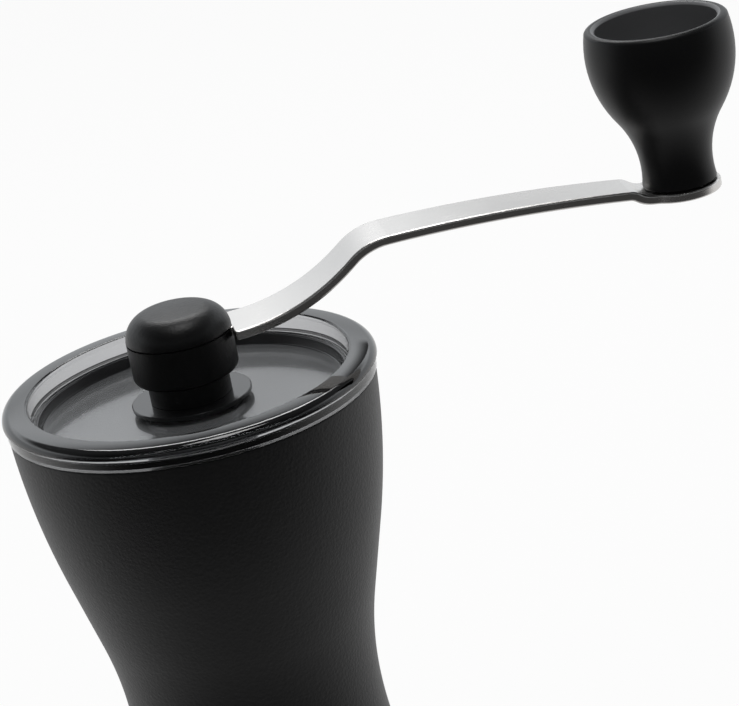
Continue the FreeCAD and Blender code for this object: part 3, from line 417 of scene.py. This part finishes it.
def turned_tree():
    """Turns a half section about an upright axis: softens its corners, carries it round, closes the seam."""
    web, section, size = geometry_web(
        "turned_piece", Segments="NodeSocketInt", Axis="NodeSocketVector", Finish="NodeSocketMaterial")
    soft = web.node("GeometryNodeInputNamedAttribute", {"data_type": "FLOAT"}, {0: "soft"})
    line = web.node("GeometryNodeMeshToCurve", {}, {0: section})
    line = web.node("GeometryNodeFilletCurve", {"mode": "POLY"}, {
        0: line, "Count": CORNER_STEPS, "Radius": soft, "Limit Radius": True})
    line = web.node("GeometryNodeTransform", {}, {0: line, "Translation": (-SPINE, 0, 0)})
    line = web.node("GeometryNodeTransform", {}, {0: line, "Rotation": (math.pi / 2, 0, 0)})
    ring = web.node("GeometryNodeCurvePrimitiveCircle", {}, {
        "Resolution": size["Segments"], "Radius": SPINE})
    ring = web.node("GeometryNodeSetCurveNormal", {"mode": "Z_UP"}, {0: ring})
    shell = web.node("GeometryNodeCurveToMesh", {}, {0: ring, "Profile Curve": line})
    shell = web.node("GeometryNodeMergeByDistance", {}, {0: shell, "Distance": SEAM_MERGE})
    shell = web.node("GeometryNodeFlipFaces", {}, {0: shell})
    shell = web.node("GeometryNodeTransform", {}, {0: shell, "Translation": size["Axis"]})
    return finished_web(web, shell, size["Finish"])


def finished_web(web, shape, finish):
    """Shades a shape smooth up to an angle, makes it real and gives it its finish."""
    angle = web.node("GeometryNodeInputMeshEdgeAngle")
    shape = web.node("GeometryNodeSetShadeSmooth", {"domain": "FACE"}, {0: shape, "Shade Smooth": True})
    shape = web.node("GeometryNodeSetShadeSmooth", {"domain": "EDGE"}, {
        0: shape, 1: angle > SHARP_ANGLE, "Shade Smooth": False})
    shape = web.node("GeometryNodeRealizeInstances", {}, {0: shape})
    shape = web.node("GeometryNodeSetMaterial", {}, {0: shape, "Material": finish})
    web.node("NodeGroupOutput", {}, {0: shape})
    return web.tree


def shown_piece(name, source, tree, body, slot, stands_for=(), **inputs):
    """Run a tree on a source mesh and keep the result as a plain mesh that rides on a body."""
    maker = bpy.data.objects.new(f"{name}_maker", source)
    bpy.context.scene.collection.objects.link(maker)
    making = maker.modifiers.new("made", "NODES")
    making.node_group = tree
    inputs["Finish"] = FINISHES[slot]
    for item in tree.interface.items_tree:
        if item.in_out == "INPUT" and item.name in inputs:
            making[item.identifier] = inputs[item.name]
    even = maker.modifiers.new("even_faces", "WEIGHTED_NORMAL")
    even.keep_sharp = True
    ready = maker.evaluated_get(bpy.context.evaluated_depsgraph_get())
    mesh = bpy.data.meshes.new_from_object(ready)
    mesh.name = name
    bpy.data.objects.remove(maker)
    piece = bpy.data.objects.new(name, mesh)
    bpy.context.scene.collection.objects.link(piece)
    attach(piece, body)
    if stands_for:
        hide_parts(*stands_for)
    return piece


TURNED = turned_tree()


def turned_piece(name, profile, body, slot, stands_for, axis=(0, 0, 0), segments=192):
    """Turn a half section about an upright axis, in place of the nodes that it stands for."""
    points = profile.points
    edges = [(index, index + 1) for index in range(len(points) - 1)]
    if profile.closed():
        edges.append((len(points) - 1, 0))
    section = bpy.data.meshes.new(f"{name}_section")
    section.from_pydata([(radius * MM, 0, height * MM) for radius, height, soft in points], edges, [])
    softness = section.attributes.new("soft", "FLOAT", "POINT")
    softness.data.foreach_set("value", [soft * MM for radius, height, soft in points])
    return shown_piece(name, section, TURNED, body, slot, stands_for, Segments=segments,
                       Axis=[value * MM for value in axis])


def body_profile():
    """Hourglass shell with its spigot, its ring for the burr housing and its funnel lip."""
    wall, slope = 2.4, math.radians(14.5)
    waist, waist_height, waist_bend, flare_bend = 24.7, 103.5, 72.0, 85.0
    swell_height, swell_bend, top = 136.0, 148.0, 166.55
    upper, flare = waist + waist_bend, waist + flare_bend
    rise = upper - waist_bend * math.cos(slope)
    rise_height = waist_height + waist_bend * math.sin(slope)
    swell = rise + (swell_height - rise_height) * math.tan(slope)
    centre = swell - swell_bend * math.cos(slope)
    drop = swell_height + swell_bend * math.sin(slope) - top

    def upper_inside(height):
        return upper - math.sqrt((waist_bend + wall) ** 2 - (height - waist_height) ** 2)

    def flare_radius(height, bend):
        return flare - math.sqrt(bend ** 2 - (waist_height - height) ** 2)

    mouth, spigot, groove, foot, groove_low, groove_high, low = 24.8, 26.6, 25.55, 66.5, 71.1, 72.7, 76.0
    funnel, funnel_low, funnel_high, funnel_top = 20.4, 117.0, 118.0, 121.0
    ring, ring_low, ring_high = 21.2, 79.0, 83.0
    line = Profile(mouth, foot, soft=0.3).run(spigot, foot, soft=0.5)
    line.run(spigot, groove_low, soft=0.1).run(groove, groove_low)
    line.run(groove, groove_high).run(spigot, groove_high, soft=0.1).run(spigot, low)
    line.run(flare_radius(low, flare_bend), low, soft=0.45)
    line.arc(waist, waist_height, -flare_bend).arc(rise, rise_height, -waist_bend).run(swell, swell_height)
    line.arc(centre + math.sqrt(swell_bend ** 2 - drop ** 2), top, swell_bend, soft=0.4)
    line.run(centre + math.sqrt((swell_bend - wall) ** 2 - drop ** 2), top, soft=0.4)
    line.arc(swell - wall * math.cos(slope), swell_height + wall * math.sin(slope), wall - swell_bend)
    line.run(rise - wall * math.cos(slope), rise_height + wall * math.sin(slope))
    line.arc(upper_inside(funnel_top), funnel_top, waist_bend + wall)
    line.run(funnel, funnel_high, soft=0.4).run(funnel, funnel_low, soft=0.2)
    line.run(upper_inside(funnel_low), funnel_low)
    line.arc(waist - wall, waist_height, waist_bend + wall)
    line.arc(flare_radius(ring_high, flare_bend + wall), ring_high, flare_bend + wall)
    return line.run(ring, ring_high, soft=0.2).run(ring, ring_low, soft=0.2).run(mouth, ring_low)


def lid_profile():
    """Plug with a boss under it, band, rounded lip, and a recess with a bead on the ledge in its wall."""
    bore, boss, hollow, plug, plug_round = 6.05, 9.6, 28.4, 32.55, 1.0
    low, ceiling, ledge, wall_round = 161.1, 163.0, 167.0, 0.3
    band_low, band_high, lip = (35.5, SEAT_HEIGHT), (35.6, 168.7), (36.0, 169.11)
    shoulder, crown, brow, wall_foot = (34.49, 170.84), (31.4, 171.08), (30.82, 170.5), (30.5, 167.3)
    shoulder_bend, crown_bend, brow_bend, bead_bend = 1.75, 25.0, 0.6, 0.32
    ledge_outer, bead_outer, bead_inner, recess_wall = 30.2, 30.0, (29.4, 166.9), (29.2, 165.4)
    line = Profile(bore, low, soft=0.2).run(boss, low, soft=0.3).run(boss, ceiling, soft=0.3)
    line.run(hollow, ceiling, soft=0.3).run(hollow, low, soft=0.3)
    line.run(plug - plug_round, low).arc(plug, low + plug_round, plug_round).run(plug, SEAT_HEIGHT)
    line.run(*band_low, soft=0.12).run(*band_high, soft=0.1).run(*lip)
    line.arc(*shoulder, shoulder_bend).arc(*crown, crown_bend).arc(*brow, brow_bend).run(*wall_foot)
    line.arc(ledge_outer, ledge, -wall_round).run(bead_outer, ledge).arc(*bead_inner, bead_bend)
    line.run(*recess_wall).arc(RECESS_RADIUS, RECESS_FLOOR, -wall_round)
    return line.run(bore, RECESS_FLOOR, soft=0.2)


def hub_cap_profile():
    """Domed cap, hollow over the screws, with its peg."""
    radius, low, dome, crown, wall = 10.1, 179.2, 5.0, 0.28, 1.8
    peg, peg_low, slant = 1.5, 175.2, 1.5
    top, flat, inner = low + dome, radius - dome, radius - wall
    ceiling = top - wall
    line = Profile(0, peg_low).run(peg, peg_low, soft=0.3).run(peg, ceiling).run(inner - slant, ceiling)
    line.run(inner, ceiling - slant).run(inner, low, soft=0.2).run(radius, low, soft=0.3)
    line.arc(flat, top, dome)
    return line.arc(0, top + crown, flat * flat / (2 * crown) + crown / 2)


def knob_profile(low):
    """Hollow cup on a waisted neck, heights above the knob's foot."""
    neck, neck_height, neck_bend = 6.9, 3.45, 17.9
    belly, belly_height, belly_bend = KNOB_BELLY, KNOB_BELLY_HEIGHT, KNOB_BELLY_BEND
    turn_height, rim_height, rim_round, wall = 13.79, 31.9, 0.6, 2.0
    floor, floor_rise, floor_radius, floor_bend = KNOB_FLOOR, 3.2, 6.2, 5.0
    foot_round, seat, recess, bore = 0.4, 0.35, 5.3, 2.55
    centre = belly - belly_bend

    def outside(height, bend):
        return centre + math.sqrt(bend ** 2 - (height - belly_height) ** 2)

    foot = neck + neck_bend - math.sqrt(neck_bend ** 2 - (neck_height - foot_round) ** 2)
    rim_outer = outside(rim_height - rim_round, belly_bend)
    rim_inner = outside(rim_height - rim_round, belly_bend - wall)
    half = (rim_outer - rim_inner) / 2
    rim_bend = half * half / (2 * rim_round) + rim_round / 2
    line = Profile(bore, low + seat, soft=0.2).run(recess, low + seat).run(recess, low, soft=0.15)
    line.run(foot - foot_round, low).arc(foot, low + foot_round, foot_round)
    line.arc(outside(turn_height, belly_bend), low + turn_height, -neck_bend)
    line.arc(rim_outer, low + rim_height - rim_round, belly_bend, soft=0.25)
    line.arc(rim_inner, low + rim_height - rim_round, rim_bend, soft=0.25)
    line.arc(outside(floor + floor_rise, belly_bend - wall), low + floor + floor_rise, wall - belly_bend)
    line.arc(floor_radius, low + floor, -floor_bend)
    return line.run(bore, low + floor, soft=0.2)


def container_profile():
    """Cup for the grounds: rounded foot, upright wall, shoulder and mouth."""
    radius, shoulder, bend, wall, top = 33.9, 48.2, 85.0, 2.4, 75.8
    pad, pad_depth, low, foot, foot_round = 26.2, 2.0, 0.8, 33.2, 2.6
    mouth, mouth_low, neck_low = 26.9, 68.4, 66.8
    floor, floor_radius, inner_foot, inner_round = 4.8, 26.8, 30.8, 4.0
    centre = radius - bend

    def drawn_in(height, arc_bend):
        return centre + math.sqrt(arc_bend ** 2 - (height - shoulder) ** 2)

    line = Profile(0, pad_depth).run(pad, pad_depth, soft=0.1).run(pad, low, soft=0.3)
    line.run(foot - foot_round, low).arc(foot, low + foot_round, foot_round)
    line.run(radius, shoulder).arc(drawn_in(top, bend), top, bend, soft=0.5)
    line.run(mouth, top, soft=0.4).run(mouth, mouth_low, soft=0.2)
    line.run(drawn_in(neck_low, bend - wall), neck_low).arc(radius - wall, shoulder, wall - bend)
    line.run(inner_foot, floor + inner_round).arc(floor_radius, floor, -inner_round)
    return line.run(0, floor)


def pad_profile():
    """Soft pad with ring grooves in the face that grips the table."""
    groove, land, depth = 1.1, 3.4, 0.5
    edge, edge_round, grooved, thick = 26.0, 0.6, 25.0, 2.0
    line = Profile(0, 0)
    radius = land
    while radius + groove < grooved:
        line.run(radius, 0, soft=0.12).run(radius, depth)
        line.run(radius + groove, depth).run(radius + groove, 0, soft=0.12)
        radius += groove + land
    line.run(edge - edge_round, 0).arc(edge, edge_round, edge_round)
    return line.run(edge, thick, soft=0.1).run(0, thick)


KNOB_AXIS = (KNOB_REACH, 0, 0)
turned_piece("body_shell", body_profile(), "grinder_body", "body_black", ["upper_body"])
turned_piece("lid_shell", lid_profile(), "lid", "smoky_plastic", ["lid"])
turned_piece("hub_dome", hub_cap_profile(), "crank", "hub_black", ["hub_cap"], segments=128)
turned_piece("knob_cup", knob_profile(KNOB_LOW), "knob", "knob_black", ["crank_knob"], KNOB_AXIS, 160)
turned_piece("grounds_cup", container_profile(), "container", "smoky_plastic", ["grounds_container"])
turned_piece("grip_pad", pad_profile(), "container", "pad_rubber", ["base_pad"])


# Camera fitted to the photograph; AHEAD is its level way forward
CAMERA_PLACE = Vector((-0.039517, -0.565117, 0.373088))
CAMERA_AIM = Vector((0.034754, 0.0, 0.166512))
CAMERA_TILT = math.radians(-11.035)
CAMERA_LENS = 155.227
SENSOR_WIDTH = 36.0
AHEAD = (CAMERA_AIM - CAMERA_PLACE).to_2d().normalized()

# Floor: half its width, the white in it, and the depths between which the dark card in front of it ends
FLOOR_HALF = 6.0
WHITE_SHARE = 0.92
DARK_CARD = 0.05
CARD_DEPTH = (-0.32, 0.10)

# Surround: brightness of its parts, and the heights, sides and depths between which each part changes
COOL_WHITE = (0.94, 0.97, 1.0, 1.0)
EVEN_LIGHT = 0.35
OVERHEAD, OVERHEAD_RISE = 0.12, (0.42, 0.58)
SCREEN, SCREEN_RISE = 1.5, (0.29, 0.38)
FLAG, FLAG_LEFT, FLAG_RIGHT, FLAG_RISE = 0.9, (0.03, 0.08), (0.13, 0.22), (0.325, 0.345)
STRIP, STRIP_LOW, STRIP_HIGH = 0.35, (0.22, 0.30), (0.40, 0.48)
SCREEN_DEPTH = (-0.45, 0.25)
LAMP_AIM = 0.02


def seen_axes(web, place):
    """Wires of a place's depth away from the camera, its way to the camera's right, and its height."""
    x = web.node("ShaderNodeSeparateXYZ", {}, {0: place})
    y = web.other(x, "Y")
    return x * AHEAD.x + y * AHEAD.y, x * AHEAD.y - y * AHEAD.x, web.other(x, "Z")


def floor_and_backdrop():
    """Pale floor that keeps the mill's shadow; polished faces see a dark card on it in front of the mill."""
    mesh = bpy.data.meshes.new("floor")
    corners = [(-1, -1), (1, -1), (1, 1), (-1, 1)]
    mesh.from_pydata([(x * FLOOR_HALF, y * FLOOR_HALF, 0) for x, y in corners], [], [(0, 1, 2, 3)])
    floor = bpy.data.objects.new("floor", mesh)
    bpy.context.scene.collection.objects.link(floor)
    finish = Finish("pale_floor")
    path = finish.node("ShaderNodeLightPath", output="Is Camera Ray")
    mirrored = finish.other(path, "Is Glossy Ray")
    seen = (path + mirrored + finish.other(path, "Is Transmission Ray")).clamped()
    dust = finish.noise(120.0)
    paint = finish.node("ShaderNodeBsdfDiffuse", {}, {
        "Color": finish.shade(dust, (0.84, 0.84, 0.84), (0.88, 0.88, 0.88))})
    glow = finish.node("ShaderNodeEmission", {}, {"Color": (1, 1, 1, 1), "Strength": 1.0})
    lit = finish.node("ShaderNodeMixShader", {}, {0: seen * WHITE_SHARE, 1: paint, 2: glow})
    depth = seen_axes(finish, finish.place)[0]
    ahead = finish.eased(depth, *CARD_DEPTH, 1.0, 0.0)
    card = finish.node("ShaderNodeEmission", {}, {"Color": (1, 1, 1, 1), "Strength": DARK_CARD})
    shaded = finish.node("ShaderNodeMixShader", {}, {0: mirrored * ahead, 1: lit, 2: card})
    finish.node("ShaderNodeOutputMaterial", {}, {"Surface": shaded})
    mesh.materials.append(finish.material)


def studio_air():
    """White surround: polished faces see a bright screen with a dark flag behind the mill, and a dark card
    with a paler strip in front of it."""
    world = bpy.data.worlds.new("studio")
    bpy.context.scene.world = world
    world.use_nodes = True
    air = Web(world.node_tree)
    place = air.node("ShaderNodeTexCoord", output="Generated")
    depth, side, rise = seen_axes(air, place)
    overhead = air.eased(rise, *OVERHEAD_RISE, 1.0, OVERHEAD)
    screen = air.eased(rise, *SCREEN_RISE, 1.0, SCREEN) * overhead
    flag = air.eased(side, *FLAG_LEFT, 0.0, FLAG) * air.eased(side, *FLAG_RIGHT, 1.0, 0.0)
    flag = flag * air.eased(rise, *FLAG_RISE, 0.0, 1.0)
    front = DARK_CARD + air.eased(rise, *STRIP_LOW, 0.0, STRIP) * air.eased(rise, *STRIP_HIGH, 1.0, 0.0)
    around = front + air.eased(depth, *SCREEN_DEPTH, 0.0, 1.0) * (screen * (1 - flag) - front)
    direct = air.node("ShaderNodeLightPath", output="Is Camera Ray")
    through = air.other(direct, "Is Transmission Ray") * (1 - direct)
    mirrored = air.other(direct, "Is Glossy Ray") * (1 - direct - through)
    rest = 1 - direct - through - mirrored
    strength = direct + through * overhead + mirrored * around + rest * EVEN_LIGHT
    tint = air.node("ShaderNodeMix", {"data_type": "RGBA"}, {
        0: mirrored, 6: (1, 1, 1, 1), 7: COOL_WHITE}, output=2)
    sky = air.node("ShaderNodeBackground", {}, {"Color": tint, "Strength": strength})
    air.node("ShaderNodeOutputWorld", {}, {"Surface": sky})


def softbox(name, depth, side, height, aim_height, width, length, power):
    """Soft lamp, placed by its depth behind the mill and its way to the right as the camera sees it."""
    place = Vector((AHEAD.x * depth + AHEAD.y * side, AHEAD.y * depth - AHEAD.x * side, height))
    aim = Vector((LAMP_AIM, 0.0, aim_height))
    lamp = bpy.data.lights.new(name, "AREA")
    lamp.shape = "RECTANGLE"
    lamp.size = width
    lamp.size_y = length
    lamp.energy = power
    item = bpy.data.objects.new(name, lamp)
    item.location = place
    item.rotation_mode = "QUATERNION"
    item.visible_camera = False
    item.visible_transmission = False
    item.rotation_quaternion = (aim - place).to_track_quat("-Z", "Y")
    bpy.context.scene.collection.objects.link(item)


def photo_camera():
    """Camera with the photograph's view."""
    lens = bpy.data.cameras.new("photo_camera")
    lens.lens = CAMERA_LENS
    lens.sensor_width = SENSOR_WIDTH
    lens.clip_start = 0.01
    lens.clip_end = 50.0
    camera = bpy.data.objects.new("photo_camera", lens)
    camera.location = CAMERA_PLACE
    camera.rotation_mode = "QUATERNION"
    level = (CAMERA_AIM - CAMERA_PLACE).to_track_quat("-Z", "Y")
    camera.rotation_quaternion = level @ Quaternion((0, 0, 1), CAMERA_TILT)
    bpy.context.scene.collection.objects.link(camera)
    bpy.context.scene.camera = camera


floor_and_backdrop()
studio_air()
softbox("top_softbox", depth=-0.05, side=0.12, height=1.12, aim_height=0.15,
        width=0.42, length=0.32, power=2.6)
softbox("back_softbox", depth=0.75, side=0.0, height=0.97, aim_height=0.165,
        width=0.55, length=0.30, power=4.0)
photo_camera()
bpy.context.scene.view_settings.view_transform = "Standard"
